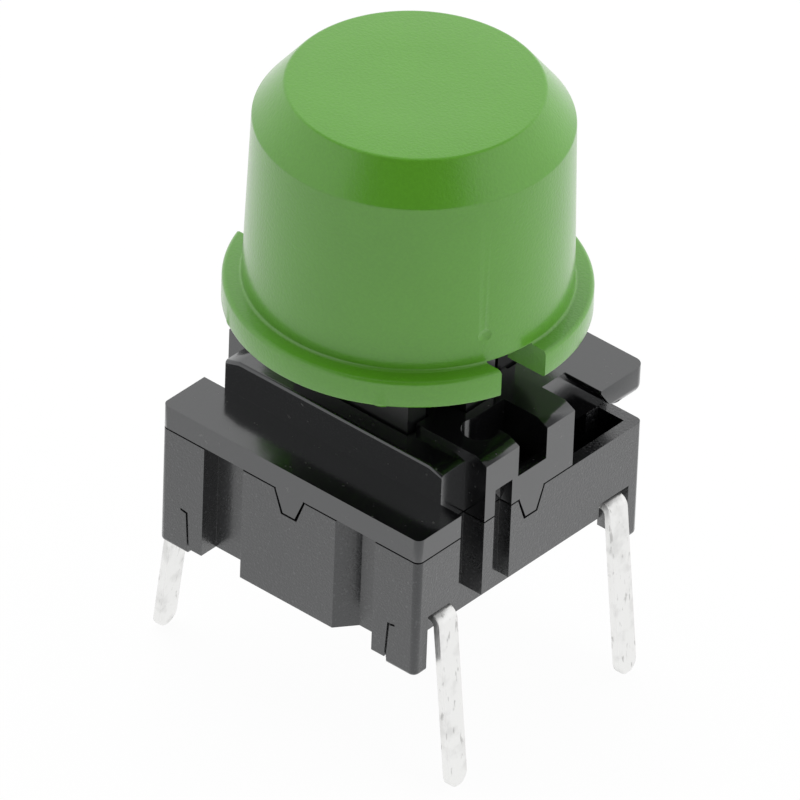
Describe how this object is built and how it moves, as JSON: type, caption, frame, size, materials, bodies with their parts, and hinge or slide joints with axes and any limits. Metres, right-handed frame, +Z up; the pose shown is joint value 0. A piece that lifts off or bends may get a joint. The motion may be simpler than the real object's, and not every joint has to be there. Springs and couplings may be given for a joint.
{
  "type": "tactile push button switch",
  "caption": "Square through-hole tactile push button switch with a round flanged cap, two-part housing, sprung plunger and splayed flat leads.",
  "frame": {"origin": "centre of the bounding box's bottom, at the level of the four lead tips, on the button's axis", "axes": "+Z up along the button's travel, X along the front face (leads leave the housing at +X and -X), front ledge towards -Y"},
  "size_m": [0.0118, 0.0108, 0.0202],
  "materials": {
    "cap_plastic": "satin moulded green plastic",
    "plunger_plastic": "satin moulded black plastic",
    "cover_plastic": "semi-gloss moulded black plastic",
    "base_plastic": "finely textured glass-filled black plastic",
    "seal_rubber": "soft silicone rubber",
    "spring_steel": "bright spring steel",
    "tinned_lead": "bright tin plate"
  },
  "bodies": {
    "housing": {"upper_housing": "cover_plastic", "lower_housing": "base_plastic", "seal_membrane": "seal_rubber", "return_spring": "spring_steel", "snap_dome": "spring_steel", "front_contact_frame": "tinned_lead", "rear_contact_frame": "tinned_lead"},
    "button": {"cap": "cap_plastic", "plunger": "plunger_plastic"}
  },
  "joints": [
    {"name": "press", "type": "slide", "parent": "housing", "child": "button", "axis": [0, 0, -1], "range_m": [0, 0.0012], "stiffness_N_per_m": 2900, "deforming": ["return_spring"]}
  ]
}
